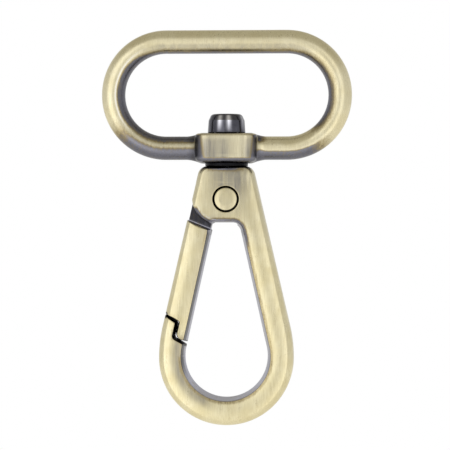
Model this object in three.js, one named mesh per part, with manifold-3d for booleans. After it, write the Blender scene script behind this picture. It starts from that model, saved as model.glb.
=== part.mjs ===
// Swivel snap hook with a spring gate and an oval strap loop, die-cast and brass plated.
// Millimetres, +Z up. The front is towards -Y and the gate is on the -X side.
// The origin is where the strap bears: the middle of the underside of the loop's top bar.

import * as THREE from 'three';
import { mergeVertices } from 'three/addons/utils/BufferGeometryUtils.js';
import Module from 'manifold-3d';

const wasm = await Module();
wasm.setup();

const DEG = Math.PI / 180;

// ---- Driving dimensions ---------------------------------------------------------------------

// Strap loop: an oval of one bar, open across the webbing's width.
const strapWidth = 38;
const loopOpeningHeight = 15.45;
const loopBarWidth = 4.4;
const loopBarDepth = 4.4;
const loopRounding = 1.5;

// Boss: the barrel on the loop's lower bar that the post turns in.
const bossWidth = 11.5;
const bossDepth = 9;
const bossHeight = 5.4;
const bossCornerRadius = 2.6;
const bossRounding = 0.6;
const flareLength = 1.9;
const flareRadius = 2.75;

// Swivel post: a button head over the boss and a shank pressed into the hook.
const buttonDiameter = 7.05;
const buttonTopDiameter = 4.4;
const buttonHeight = 3.5;
const buttonShoulderRadius = 1.2;
const shankDiameter = 4;
const shankSeatDepth = 2.2;

// Washer between the boss and the hook.
const washerDiameter = 8;
const washerThickness = 0.35;

// Hook body: a head above a teardrop ring.
const hookDepth = 6.5;
const hookLength = 48.3;
const hookRadius = 12.55;
const hookSideRadius = 26;
const hookTaper = 13.1 * DEG;
const hookRounding = 1.6;
const hookRoundingDepth = 1.9;
const headCornerRadius = 1.7;
const headBelowPin = 4.7;
const cheekCornerRadius = 4.8;

// Eye: the teardrop opening of the ring, with the draft of a casting on its wall.
const eyeRadius = 7.7;
const eyeTaper = 12.6 * DEG;
const ringThickness = 5.2;
const eyeCornerRadius = 1.5;
const eyeDraft = 12 * DEG;
const partingLand = 0.3;

// Gate pin: a rivet whose two heads lie in counterbores, each a share of its cheek's thickness.
const pinBelowHeadTop = 6.15;
const pinHeadDiameter = 4.3;
const pinHeadShare = 0.625;
const pinHeadDome = 0.15;
const pinShankDiameter = 2.8;

// Gate: a blade of the ring's own section, and a thinner tab that goes between the cheeks.
const tabThickness = 3;
const tabInset = 0.3;
const tabInnerInset = 0.3;
const tabEyeRadius = 2.7;
const tabKnuckleRadius = 2.4;
const tabKnuckleRise = 1.1;
const shoulderTilt = 22 * DEG;

// Nose: the step on the hook that the gate closes behind.
const noseRise = 1.42;
const lipHeight = 2.9;
const lipThickness = 2.3;
const splitSlant = 18 * DEG;
const tongueRadius = 1.1;
const stepRadius = 0.3;

// Gate spring: a torsion spring round the pin, between the two ears of the tab.
const springWire = 0.4;
const springTurns = 2;
const springPitch = 0.42;
const springGateLeg = 4;
const springHookLeg = 3;
const springSides = 8;
const springSteps = 64;

// Clearances
const swivelGap = 0.15;
const pressedGap = 0.1;
const pinHeadGap = 0.3;
const pinRunningGap = 0.15;
const tabSideGap = 0.15;
const tabEyeGap = 0.3;
const springGap = 0.1;
const springSideGap = 0.1;
const springSlotGap = 0.15;
const shoulderGap = 0.3;
const lipTopGap = 0.5;
const lipSideGap = 0.65;
const seatGap = 0.55;

// How far a cutter runs past the surface that it cuts.
const overrun = 3;
const arcSegments = 8;
const roundSegments = 40;

// ---- Places worked out from the dimensions ----------------------------------------------------

const barCentreZ = -loopOpeningHeight - loopBarWidth / 2;
const bossTopZ = barCentreZ + bossHeight / 2;
const bossBottomZ = barCentreZ - bossHeight / 2;
const buttonBaseZ = bossTopZ + swivelGap;
const washerTopZ = bossBottomZ - swivelGap;
const washerBottomZ = washerTopZ - washerThickness;
const headTopZ = washerBottomZ - swivelGap;
const pinZ = headTopZ - pinBelowHeadTop;
const headBottomZ = pinZ - headBelowPin;
const hookBottomZ = headTopZ - hookLength;
const hookCentreZ = hookBottomZ + hookRadius;
const eyeCentreZ = hookBottomZ + ringThickness + eyeRadius;
const slotWidth = tabThickness + 2 * tabSideGap;
const pinHeadThickness = (pinHeadShare * (hookDepth - slotWidth)) / 2;
const slotTopZ = pinZ + tabEyeRadius + tabEyeGap;
const pinShankRadius = pinShankDiameter / 2;
const springRadius = pinShankRadius + springGap + springWire / 2;
const springWidth = (springTurns + 0.5) * springPitch + springWire;
const grooveWidth = springWidth + 2 * springSideGap;

// ---- Solids and outlines ----------------------------------------------------------------------

function solidFrom(geometry) {
  geometry.deleteAttribute('normal');
  geometry.deleteAttribute('uv');
  const merged = mergeVertices(geometry);
  return new wasm.Manifold(
    new wasm.Mesh({
      numProp: 3,
      vertProperties: merged.attributes.position.array,
      triVerts: Uint32Array.from(merged.index.array),
    }),
  );
}

function geometryFrom(solid) {
  const mesh = solid.getMesh();
  const geometry = new THREE.BufferGeometry();
  geometry.setAttribute('position', new THREE.BufferAttribute(mesh.vertProperties, 3));
  geometry.setIndex(new THREE.BufferAttribute(mesh.triVerts, 1));
  geometry.computeVertexNormals();
  return geometry;
}

// A slab of an outline drawn in X and Z, centred on Y = 0, with its edges rounded by `rounding`
// in the outline's plane and by `roundingDepth` along Y. A negative rounding in one step widens
// the slab towards its faces, as a draft does.
function slab(outline, depth, rounding = 0, roundingDepth = rounding, steps = 4) {
  const geometry = new THREE.ExtrudeGeometry(outline, {
    depth: depth - 2 * roundingDepth,
    curveSegments: arcSegments,
    bevelEnabled: rounding !== 0,
    bevelSize: rounding,
    bevelThickness: roundingDepth,
    bevelOffset: -rounding,
    bevelSegments: steps,
  });
  geometry.translate(0, 0, roundingDepth - depth / 2);
  geometry.rotateX(Math.PI / 2);
  return solidFrom(geometry);
}

// A cylinder along Z from `bottom` to `top`.
function post(radius, bottom, top) {
  const geometry = new THREE.CylinderGeometry(radius, radius, top - bottom, roundSegments);
  geometry.rotateX(Math.PI / 2);
  geometry.translate(0, 0, (top + bottom) / 2);
  return solidFrom(geometry);
}

// A cylinder along Y on the gate pin's axis, centred on Y = 0.
function onPin(radius, width) {
  const geometry = new THREE.CylinderGeometry(radius, radius, width, roundSegments);
  geometry.translate(0, 0, pinZ);
  return solidFrom(geometry);
}

// A solid turned round the Z axis from a profile of [radius, z] points.
function turned(profile) {
  const points = profile.map(([radius, z]) => new THREE.Vector2(radius, z));
  const geometry = new THREE.LatheGeometry(points, roundSegments);
  geometry.rotateX(Math.PI / 2);
  return geometry;
}

const at = (x, z) => new THREE.Vector2(x, z);

// Draws a path on to `corner`, coming from `before` and leaving for `after`, rounded to `radius`.
function turnCorner(path, before, corner, after, radius) {
  if (!radius) {
    path.lineTo(corner.x, corner.y);
    return;
  }
  const back = before.clone().sub(corner).normalize();
  const onward = after.clone().sub(corner).normalize();
  const halfAngle = Math.acos(back.dot(onward)) / 2;
  const setback = radius / Math.tan(halfAngle);
  const start = corner.clone().addScaledVector(back, setback);
  const end = corner.clone().addScaledVector(onward, setback);
  const centre = back.clone().add(onward).setLength(radius / Math.sin(halfAngle)).add(corner);
  const from = start.clone().sub(centre).angle();
  const to = end.clone().sub(centre).angle();
  path.lineTo(start.x, start.y);
  path.absarc(centre.x, centre.y, radius, from, to, back.cross(onward) > 0);
}

// A closed outline through `corners`, each a point with a radius, or with none where it is sharp.
function roundedOutline(corners) {
  const startOfOutline = corners.at(-1)[0].clone().lerp(corners[0][0], 0.5);
  const outline = new THREE.Shape().moveTo(startOfOutline.x, startOfOutline.y);
  corners.forEach(([corner, radius], i) => {
    const before = corners.at(i - 1)[0];
    const after = corners[(i + 1) % corners.length][0];
    turnCorner(outline, before, corner, after, radius);
  });
  return outline;
}

// A ring's side: an arc of `sideRadius` from the end of the bottom's half circle, then a straight
// line that leans in upwards by `taper`. This is how far the line is from the Z axis at a height.
function sideAt(z, { centreZ, radius, sideRadius, taper }) {
  const fromArcCentre = (sideRadius - (z - centreZ) * Math.sin(taper)) / Math.cos(taper);
  return radius - sideRadius + fromArcCentre;
}

const hookRing = {
  centreZ: hookCentreZ, radius: hookRadius, sideRadius: hookSideRadius, taper: hookTaper,
};
const eyeRing = {
  centreZ: eyeCentreZ, radius: eyeRadius, sideRadius: eyeRadius, taper: eyeTaper,
};
const outerSideAt = (z) => sideAt(z, hookRing);
const eyeSideAt = (z) => sideAt(z, eyeRing);

// A teardrop: half a circle at the bottom, an arc and a straight line up each side, and a flat top
// between two corners.
function teardrop(ring, topZ, leftCornerRadius, rightCornerRadius) {
  const { centreZ, radius, sideRadius, taper } = ring;
  const halfTop = sideAt(topZ, ring);
  const arcCentreX = radius - sideRadius;
  const tangentX = arcCentreX + sideRadius * Math.cos(taper);
  const rightTangent = at(tangentX, centreZ + sideRadius * Math.sin(taper));
  const leftTangent = at(-tangentX, rightTangent.y);
  const topRight = at(halfTop, topZ);
  const topLeft = at(-halfTop, topZ);
  const outline = new THREE.Shape();
  outline.absarc(-arcCentreX, centreZ, sideRadius, Math.PI - taper, Math.PI, false);
  outline.absarc(0, centreZ, radius, Math.PI, 2 * Math.PI, false);
  outline.absarc(arcCentreX, centreZ, sideRadius, 0, taper, false);
  turnCorner(outline, rightTangent, topRight, topLeft, rightCornerRadius);
  turnCorner(outline, topRight, topLeft, leftTangent, leftCornerRadius);
  return outline;
}

// A place on the gate's arm: `rise` up along the outer side's straight line from the height of the
// ring's centre, and `inward` from that line.
function onArm(rise, inward) {
  const toLine = hookSideRadius + (hookRadius - hookSideRadius) * Math.cos(hookTaper);
  const place = at(inward - toLine, rise);
  place.rotateAround(at(0, 0), -hookTaper);
  return place.add(at(0, hookCentreZ));
}

// How far the slanted faces of the split fall over a distance inward.
const slantFall = (distance) => distance * Math.tan(splitSlant);

// ---- Strap loop -------------------------------------------------------------------------------

function oval(halfStraight, radius, centreZ) {
  const outline = new THREE.Shape();
  outline.absarc(halfStraight, centreZ, radius, -Math.PI / 2, Math.PI / 2, false);
  outline.absarc(-halfStraight, centreZ, radius, Math.PI / 2, Math.PI * 1.5, false);
  return outline;
}

function loopRing() {
  const innerRadius = loopOpeningHeight / 2;
  const halfStraight = strapWidth / 2 - innerRadius;
  const outline = oval(halfStraight, innerRadius + loopBarWidth, -innerRadius);
  outline.holes.push(oval(halfStraight, innerRadius, -innerRadius));
  return slab(outline, loopBarDepth, loopRounding);
}

function bossBarrel() {
  const halfWidth = bossWidth / 2;
  const halfDepth = bossDepth / 2;
  const outline = roundedOutline([
    [at(-halfWidth, -halfDepth), bossCornerRadius],
    [at(halfWidth, -halfDepth), bossCornerRadius],
    [at(halfWidth, halfDepth), bossCornerRadius],
    [at(-halfWidth, halfDepth), bossCornerRadius],
  ]);
  const geometry = new THREE.ExtrudeGeometry(outline, {
    depth: bossHeight - 2 * bossRounding,
    curveSegments: arcSegments,
    bevelSize: bossRounding,
    bevelThickness: bossRounding,
    bevelOffset: -bossRounding,
    bevelSegments: 3,
  });
  geometry.translate(0, 0, bossBottomZ + bossRounding);
  return solidFrom(geometry);
}

// The two cones that ease the boss into the bar, made as one spindle through the boss.
function bossFlares() {
  const inBoss = bossWidth / 2 - bossCornerRadius / 2;
  const end = bossWidth / 2 + flareLength;
  const barRadius = loopBarWidth / 2 - loopRounding / 4;
  const geometry = new THREE.LatheGeometry(
    [at(0, -end), at(barRadius, -end), at(flareRadius, -inBoss), at(flareRadius, inBoss), at(barRadius, end), at(0, end)],
    roundSegments / 2,
  );
  geometry.rotateZ(Math.PI / 2);
  geometry.translate(0, 0, barCentreZ);
  return solidFrom(geometry);
}

function strapLoop() {
  const bore = post(shankDiameter / 2 + swivelGap, bossBottomZ - overrun, bossTopZ + overrun);
  return geometryFrom(loopRing().add(bossBarrel()).add(bossFlares()).subtract(bore));
}

// ---- Swivel post and washer -------------------------------------------------------------------

function swivelPost() {
  const shankRadius = shankDiameter / 2;
  const baseRadius = buttonDiameter / 2;
  const topRadius = buttonTopDiameter / 2;
  const topZ = buttonBaseZ + buttonHeight;
  const shoulderZ = topZ - buttonShoulderRadius;
  const shoulder = [1, 2, 3].map((step) => {
    const angle = (step / 4) * (Math.PI / 2);
    const radius = topRadius + (baseRadius - topRadius) * Math.cos(angle);
    return [radius, shoulderZ + buttonShoulderRadius * Math.sin(angle)];
  });
  return turned([
    [0, headTopZ - shankSeatDepth],
    [shankRadius, headTopZ - shankSeatDepth],
    [shankRadius, buttonBaseZ],
    [baseRadius, buttonBaseZ],
    [baseRadius, shoulderZ],
    ...shoulder,
    [topRadius, topZ],
    [0, topZ],
  ]);
}

function swivelWasher() {
  const boreRadius = shankDiameter / 2 + swivelGap;
  return turned([
    [boreRadius, washerBottomZ],
    [washerDiameter / 2, washerBottomZ],
    [washerDiameter / 2, washerTopZ],
    [boreRadius, washerTopZ],
    [boreRadius, washerBottomZ],
  ]);
}

// ---- Hook body --------------------------------------------------------------------------------

// The eye, narrowest on the parting line and wider towards both faces by the draft.
function eyeCutter() {
  const outline = teardrop(eyeRing, headBottomZ, 0, eyeCornerRadius);
  const run = (hookDepth - partingLand) / 2 + overrun;
  return slab(outline, partingLand + 2 * run, -run * Math.tan(eyeDraft), run, 1);
}

// The ring and head as one casting, before the gate's bay is cut from it.
function wholeRing() {
  const outline = teardrop(hookRing, headTopZ, headCornerRadius, headCornerRadius);
  return slab(outline, hookDepth, hookRounding, hookRoundingDepth).subtract(eyeCutter());
}

// The bay that the gate lies in: from the cheeks' round corner down to the nose.
function gateBay() {
  const underHead = at(0, headBottomZ);
  const sideAtHead = at(-outerSideAt(headBottomZ), headBottomZ);
  const sideAtPin = at(-outerSideAt(pinZ), pinZ);
  const lipRise = noseRise + lipHeight;
  const outsideLip = onArm(lipRise + slantFall(lipThickness + overrun), -overrun);
  const lipCorner = onArm(lipRise, lipThickness);
  const seatCorner = onArm(noseRise, lipThickness);
  const seatEnd = onArm(noseRise - slantFall(hookRadius - lipThickness), hookRadius);
  const bay = new THREE.Shape();
  bay.moveTo(underHead.x, underHead.y);
  turnCorner(bay, underHead, sideAtHead, sideAtPin, cheekCornerRadius);
  bay.lineTo(outsideLip.x, pinZ);
  bay.lineTo(outsideLip.x, outsideLip.y);
  turnCorner(bay, outsideLip, lipCorner, seatCorner, stepRadius);
  turnCorner(bay, lipCorner, seatCorner, seatEnd, stepRadius);
  bay.lineTo(seatEnd.x, seatEnd.y);
  return slab(bay, hookDepth + overrun);
}

// The slot between the cheeks: open on the gate's side, closed behind the tab's eye.
function cheekSlot() {
  const left = -hookRadius;
  const right = springRadius + springWire / 2 + springSlotGap;
  const bottom = headBottomZ - overrun / 2;
  const outline = roundedOutline([
    [at(left, bottom)],
    [at(right, bottom)],
    [at(right, slotTopZ)],
    [at(left, slotTopZ)],
  ]);
  return slab(outline, slotWidth).add(onPin(tabEyeRadius + tabEyeGap, slotWidth));
}

// The pin's way through both cheeks, with a counterbore for each of its heads.
function pinWay() {
  const counterboreRadius = pinHeadDiameter / 2 + pinHeadGap;
  const betweenFloors = hookDepth - 2 * (pinHeadThickness + pressedGap);
  return onPin(counterboreRadius, hookDepth + overrun)
    .subtract(onPin(counterboreRadius + overrun, betweenFloors))
    .add(onPin(pinShankRadius + pressedGap, hookDepth));
}

function hookBody() {
  const seatZ = headTopZ - shankSeatDepth - pressedGap;
  const shankSeat = post(shankDiameter / 2 + pressedGap, seatZ, headTopZ + overrun);
  const cut = wholeRing().subtract(gateBay()).subtract(cheekSlot());
  return geometryFrom(cut.subtract(pinWay()).subtract(shankSeat));
}

// ---- Gate -------------------------------------------------------------------------------------

// The shoulder that the blade ends in under the cheeks is a straight face, square to a line from
// the pin and just outside the cheeks' reach. This is its foot on that line.
function shoulderFoot() {
  const pin = at(0, pinZ);
  const cheekCentreZ = headBottomZ + cheekCornerRadius;
  const cheekCentreX = cheekCornerRadius / Math.cos(hookTaper) - outerSideAt(cheekCentreZ);
  const reach = at(cheekCentreX, cheekCentreZ).distanceTo(pin) + cheekCornerRadius + shoulderGap;
  return at(-reach * Math.sin(shoulderTilt), -reach * Math.cos(shoulderTilt)).add(pin);
}

// The blade: the stretch of the ring from the shoulder to the tongue behind the nose's lip.
function gateBlade() {
  const foot = shoulderFoot();
  const shoulderAt = (x) => at(x, foot.y - (x - foot.x) * Math.tan(shoulderTilt));
  const channel = lipThickness + lipSideGap;
  const stepRise = noseRise + lipHeight - slantFall(lipSideGap) + lipTopGap / Math.cos(splitSlant);
  const tongueRise = noseRise - slantFall(lipSideGap + tongueRadius) + seatGap / Math.cos(splitSlant);
  const outline = roundedOutline([
    [shoulderAt(0)],
    [shoulderAt(-hookRadius - overrun)],
    [onArm(stepRise + slantFall(channel + overrun), -overrun)],
    [onArm(stepRise, channel), stepRadius],
    [onArm(tongueRise, channel), tongueRadius],
    [onArm(tongueRise, hookRadius)],
  ]);
  return wholeRing().intersect(slab(outline, hookDepth + overrun));
}

// The tab: it carries the blade's width up between the cheeks to an eye on the pin.
function gateTab() {
  const rootZ = shoulderFoot().y - overrun / 2;
  const knuckleZ = pinZ + tabKnuckleRise;
  const outerAt = (z) => at(tabInset / Math.cos(hookTaper) - outerSideAt(z), z);
  const innerAt = (z) => at(-tabInnerInset / Math.cos(eyeTaper) - eyeSideAt(z), z);
  const strip = roundedOutline([
    [outerAt(rootZ)],
    [innerAt(rootZ)],
    [innerAt(pinZ)],
    [at(0, pinZ)],
    [at(0, knuckleZ)],
    [outerAt(knuckleZ), tabKnuckleRadius],
  ]);
  return slab(strip, tabThickness).add(onPin(tabEyeRadius, tabThickness));
}

// The room for the spring: a groove that splits the tab's eye into two ears, and a channel down
// the tab's inner edge for the spring's leg.
function springRoom() {
  const floor = springRadius + springWire / 2 + springGap;
  const legRoom = springGateLeg + springWire;
  const corners = [at(-floor, 0), at(-floor, -legRoom), at(0, -legRoom), at(0, 0)];
  const channel = corners.map((corner) => [corner.rotateAround(at(0, 0), -eyeTaper).add(at(0, pinZ))]);
  return slab(roundedOutline(channel), grooveWidth).add(onPin(tabEyeRadius + tabEyeGap, grooveWidth));
}

function gate() {
  const pinHole = onPin(pinShankRadius + pinRunningGap, hookDepth);
  return geometryFrom(gateBlade().add(gateTab()).subtract(springRoom()).subtract(pinHole));
}

// ---- Gate pin and spring ----------------------------------------------------------------------

function gatePin() {
  const headRadius = pinHeadDiameter / 2;
  const face = hookDepth / 2;
  const underHead = face - pinHeadThickness;
  const half = [
    [pinShankRadius, underHead],
    [headRadius, underHead],
    [headRadius, face - pinHeadDome],
    [headRadius * Math.cos(45 * DEG), face - pinHeadDome + pinHeadDome * Math.sin(45 * DEG)],
    [0, face],
  ];
  const otherHalf = half.map(([radius, y]) => [radius, -y]).reverse();
  const points = [...otherHalf, ...half].map(([radius, y]) => at(radius, y));
  const geometry = new THREE.LatheGeometry(points, roundSegments);
  geometry.translate(0, 0, pinZ);
  return geometry;
}

// The spring's wire: up the leg that bears on the slot's end, round the pin, and down the leg
// that lies in the gate's channel.
class SpringPath extends THREE.Curve {
  getPoint(share) {
    const sweep = springTurns * 2 * Math.PI + Math.PI - eyeTaper;
    const coilLength = sweep * springRadius;
    const run = share * (springHookLeg + coilLength + springGateLeg) - springHookLeg;
    const angle = THREE.MathUtils.clamp(run / springRadius, 0, sweep);
    const leg = Math.max(-run, run - coilLength, 0);
    const lean = run > 0 ? eyeTaper : 0;
    const pitchY = (angle - sweep / 2) * (springPitch / (2 * Math.PI));
    return new THREE.Vector3(
      springRadius * Math.cos(angle) - leg * Math.sin(lean),
      pitchY,
      pinZ + springRadius * Math.sin(angle) - leg * Math.cos(lean),
    );
  }
}

function gateSpring() {
  const section = new THREE.Shape().absarc(0, 0, springWire / 2, 0, 2 * Math.PI);
  return new THREE.ExtrudeGeometry(section, {
    extrudePath: new SpringPath(),
    steps: springSteps,
    curveSegments: springSides / 2,
    bevelEnabled: false,
  });
}

// ---- Finishes ---------------------------------------------------------------------------------

function antiqueBrass() {
  return new THREE.MeshStandardMaterial({ color: '#c9bf94', roughness: 0.38, metalness: 1 });
}

function gunmetal() {
  return new THREE.MeshStandardMaterial({ color: '#45454a', roughness: 0.2, metalness: 1 });
}

function blackenedSteel() {
  return new THREE.MeshStandardMaterial({ color: '#232325', roughness: 0.4, metalness: 1 });
}

function springSteel() {
  return new THREE.MeshStandardMaterial({ color: '#8b8d90', roughness: 0.3, metalness: 1 });
}

function piece(name, geometry, material) {
  const mesh = new THREE.Mesh(geometry, material);
  mesh.name = name;
  return mesh;
}

// ---- The snap hook ----------------------------------------------------------------------------

const hook = new THREE.Group();
hook.add(piece('swivel_post', swivelPost(), gunmetal()));
hook.add(piece('swivel_washer', swivelWasher(), blackenedSteel()));
hook.add(piece('hook_body', hookBody(), antiqueBrass()));
hook.add(piece('gate_pin', gatePin(), antiqueBrass()));
hook.add(piece('gate_spring', gateSpring(), springSteel()));
hook.add(piece('gate', gate(), antiqueBrass()));

const snapHook = new THREE.Group();
snapHook.add(piece('strap_loop', strapLoop(), antiqueBrass()));
snapHook.add(hook);

export default snapHook;
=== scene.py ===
import functools
import math

import bmesh
import bpy
import numpy as np
from mathutils import Matrix, Vector


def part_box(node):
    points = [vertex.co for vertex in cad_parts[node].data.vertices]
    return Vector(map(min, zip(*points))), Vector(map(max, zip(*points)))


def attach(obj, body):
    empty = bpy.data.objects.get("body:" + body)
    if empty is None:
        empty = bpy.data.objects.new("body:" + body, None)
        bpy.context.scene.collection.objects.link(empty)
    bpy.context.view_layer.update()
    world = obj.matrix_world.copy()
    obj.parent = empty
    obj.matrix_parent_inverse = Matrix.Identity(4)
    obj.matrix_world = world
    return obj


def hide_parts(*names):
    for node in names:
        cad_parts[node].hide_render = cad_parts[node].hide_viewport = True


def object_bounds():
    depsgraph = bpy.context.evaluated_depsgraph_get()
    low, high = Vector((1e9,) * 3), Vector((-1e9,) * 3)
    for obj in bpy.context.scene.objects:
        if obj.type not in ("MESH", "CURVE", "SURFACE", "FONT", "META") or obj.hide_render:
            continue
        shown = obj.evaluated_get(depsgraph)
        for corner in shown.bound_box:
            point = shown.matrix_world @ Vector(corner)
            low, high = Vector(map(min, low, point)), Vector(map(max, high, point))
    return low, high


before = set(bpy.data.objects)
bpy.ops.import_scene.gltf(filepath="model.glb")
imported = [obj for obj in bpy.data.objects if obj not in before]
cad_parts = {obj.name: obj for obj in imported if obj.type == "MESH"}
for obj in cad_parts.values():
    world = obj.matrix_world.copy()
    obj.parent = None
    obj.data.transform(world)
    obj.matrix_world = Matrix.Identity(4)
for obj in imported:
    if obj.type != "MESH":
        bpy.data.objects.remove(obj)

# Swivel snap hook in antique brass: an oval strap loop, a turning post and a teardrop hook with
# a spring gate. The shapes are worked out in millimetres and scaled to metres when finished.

CAD_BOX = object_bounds()
METRE = 1000.0


def box_mm(node):
    """The lowest and highest corner of a CAD node, in millimetres."""
    low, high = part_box(node)
    return Vector(low) * METRE, Vector(high) * METRE


# ---- Sizes from the frame ---------------------------------------------------------------------

_, LOOP_HIGH = box_mm("strap_loop")
HOOK_LOW, HOOK_HIGH = box_mm("hook_body")
POST_LOW, POST_HIGH = box_mm("swivel_post")
_, WASHER_HIGH = box_mm("swivel_washer")
PIN_LOW, PIN_HIGH = box_mm("gate_pin")

BAR = LOOP_HIGH.z
BAR_RADIUS = BAR / 2
LOOP_HALF_WIDTH = LOOP_HIGH.x
HOOK_RADIUS = HOOK_HIGH.x
HEAD_TOP = HOOK_HIGH.z
HOOK_BOTTOM = HOOK_LOW.z
HOOK_CENTRE = HOOK_BOTTOM + HOOK_RADIUS
HALF_DEPTH = HOOK_HIGH.y
PIN_Z = (PIN_LOW.z + PIN_HIGH.z) / 2
PIN_HEAD_RADIUS = PIN_HIGH.x

# ---- Sizes of the casting's own shapes, in millimetres ----------------------------------------

LOOP_OPENING_HEIGHT = 15.45
BOSS_WIDTH = 11.5
BOSS_HEIGHT = 5.4
BOSS_DEPTH = LOOP_HIGH.y * 2
BOSS_CORNER = 2.6
BOSS_TOP_EDGE = 0.55
BOSS_BOTTOM_EDGE = 1.05
FLARE_REACH = 2.4
FLARE_INSIDE = 1.0
FLARE_SWELL = 0.72
SHANK_RADIUS = 2.0
TURNING_GAP = 0.15

HOOK_SIDE_RADIUS = 26.0
HOOK_TAPER = math.radians(13.1)
HEAD_CORNER = 1.9
HEAD_BELOW_PIN = 4.7
CHEEK_CORNER = 4.8
EYE_RADIUS = 7.7
EYE_TAPER = math.radians(12.6)
RING_THICKNESS = 5.2
EYE_CORNER = 1.5
EYE_GATE_CORNER = 0.5
EYE_DRAFT = math.radians(12)
PARTING_LAND = 0.3
SIDE_LAND = 1.3
ROUNDING_AT_TOP = 0.8
ROUNDING_AT_HEAD = 1.3
ROUNDING_AT_RING = 1.8
CROWN_DROP = 0.5
INNER_CROWN_DROP = 0.45
CROWN_REACH = 3.0
EYE_EDGE_AT_HEAD = 0.7
EYE_EDGE = 0.4
CUT_EDGE = 0.45
NOSE_DRAFT = 0.25
GATE_DRAFT = 0.21
CHANNEL_DRAFT = 0.1

NOSE_RISE = 1.42
LIP_HEIGHT = 2.9
LIP_THICKNESS = 2.3
SPLIT_SLANT = math.radians(18)
LIP_TOP_GAP = 0.5
LIP_SIDE_GAP = 0.65
SEAT_GAP = 0.55
TONGUE_RADIUS = 1.1
STEP_RADIUS = 0.3
SHOULDER_TILT = math.radians(22)
SHOULDER_GAP = 0.3

PIN_SHANK_RADIUS = 1.4
PIN_HEAD_THICKNESS = 1.0
PIN_HEAD_GAP = 0.3
TAB_THICKNESS = 3.0
TAB_SIDE_GAP = 0.15
TAB_INSET = 0.3
TAB_INNER_INSET = 0.3
TAB_EYE_RADIUS = 2.7
TAB_EYE_GAP = 0.3
TAB_KNUCKLE_RADIUS = 2.4
TAB_KNUCKLE_RISE = 1.1
SPRING_WIRE = 0.4
SPRING_TURNS = 2
SPRING_PITCH = 0.42
SPRING_GATE_LEG = 4.0
SPRING_HOOK_LEG = 3.0
SMALL_GAP = 0.1

OVERRUN = 3.0
FACE_OVERRUN = 0.5

BAR_CENTRE = -LOOP_OPENING_HEIGHT - BAR_RADIUS
BOSS_TOP = BAR_CENTRE + BOSS_HEIGHT / 2
BOSS_BOTTOM = BAR_CENTRE - BOSS_HEIGHT / 2
HEAD_BOTTOM = PIN_Z - HEAD_BELOW_PIN
EYE_CENTRE = HOOK_BOTTOM + RING_THICKNESS + EYE_RADIUS
SLOT_TOP = PIN_Z + TAB_EYE_RADIUS + TAB_EYE_GAP
SPRING_RADIUS = PIN_SHANK_RADIUS + SMALL_GAP + SPRING_WIRE / 2

# Bright bands round the button, which stand for the lamps' reflections in it: the angle from the
# front, the half width and how bright.
BRIGHT_BANDS = (
    (-19, 7, 0.85), (10, 7, 1.0), (66, 8, 0.4), (118, 6, 0.5), (-82, 7, 0.4), (-140, 6, 0.6),
    (172, 5, 0.8),
)


# ---- Outlines in X and Z ----------------------------------------------------------------------

def arc(centre, radius, start, end, spacing=0.35):
    """Points along an arc from angle start to angle end."""
    steps = max(4, math.ceil(abs(end - start) * radius / spacing))
    angles = (start + (end - start) * i / steps for i in range(steps + 1))
    x, z = centre
    return [Vector((x + radius * math.cos(a), z + radius * math.sin(a))) for a in angles]


def corner_arc(before, corner, after, radius):
    """The points that round a corner off to a radius."""
    corner = Vector(corner)
    if not radius:
        return [corner]
    back = (Vector(before) - corner).normalized()
    onward = (Vector(after) - corner).normalized()
    half = back.angle(onward) / 2
    centre = corner + (back + onward).normalized() * radius / math.sin(half)
    start = corner + back * radius / math.tan(half) - centre
    end = corner + onward * radius / math.tan(half) - centre
    first = math.atan2(start.y, start.x)
    turn = (math.atan2(end.y, end.x) - first + math.pi) % (2 * math.pi) - math.pi
    return arc(centre, radius, first, first + turn, spacing=0.2)


def rounded_outline(corners):
    """A closed outline through corners, each (x, z, radius)."""
    points = []
    for i, (x, z, radius) in enumerate(corners):
        before = corners[i - 1][:2]
        after = corners[(i + 1) % len(corners)][:2]
        points += corner_arc(before, (x, z), after, radius)
    return points


def side_at(z, ring):
    """How far a ring's straight side is from the axis at a height."""
    centre, radius, side_radius, taper = ring
    from_arc_centre = (side_radius - (z - centre) * math.sin(taper)) / math.cos(taper)
    return radius - side_radius + from_arc_centre


HOOK_RING = (HOOK_CENTRE, HOOK_RADIUS, HOOK_SIDE_RADIUS, HOOK_TAPER)
EYE_RING = (EYE_CENTRE, EYE_RADIUS, EYE_RADIUS, EYE_TAPER)


def outer_side(z):
    return side_at(z, HOOK_RING)


def eye_side(z):
    return side_at(z, EYE_RING)


def teardrop(ring, top, left_corner, right_corner):
    """A ring's outline: half a circle, an arc and a straight leaning line up each side, a flat top."""
    centre, radius, side_radius, taper = ring
    half_top = side_at(top, ring)
    arc_x = radius - side_radius
    tangent = (arc_x + side_radius * math.cos(taper), centre + side_radius * math.sin(taper))
    points = arc((-arc_x, centre), side_radius, math.pi - taper, math.pi)
    points += arc((0, centre), radius, math.pi, 2 * math.pi)
    points += arc((arc_x, centre), side_radius, 0, taper)
    points += corner_arc(tangent, (half_top, top), (-half_top, top), right_corner)
    points += corner_arc((half_top, top), (-half_top, top), (-tangent[0], tangent[1]), left_corner)
    return points


def evenly(points, spacing):
    """The same closed outline with extra points wherever a stretch is longer than spacing."""
    even = []
    for here, there in zip(points, points[1:] + points[:1]):
        length = (there - here).length
        steps = math.ceil(length / spacing) if length > 1e-6 else 0
        even += [here.lerp(there, i / steps) for i in range(steps)]
    return even


def on_arm(rise, inward):
    """A place on the gate's arm: rise up its outer side's line, inward from that line."""
    to_line = HOOK_SIDE_RADIUS + (HOOK_RADIUS - HOOK_SIDE_RADIUS) * math.cos(HOOK_TAPER)
    x, z = inward - to_line, rise
    cos, sin = math.cos(HOOK_TAPER), math.sin(HOOK_TAPER)
    return Vector((x * cos + z * sin, HOOK_CENTRE - x * sin + z * cos))


def slant_fall(distance):
    return distance * math.tan(SPLIT_SLANT)


# ---- Mesh building ----------------------------------------------------------------------------

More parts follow.
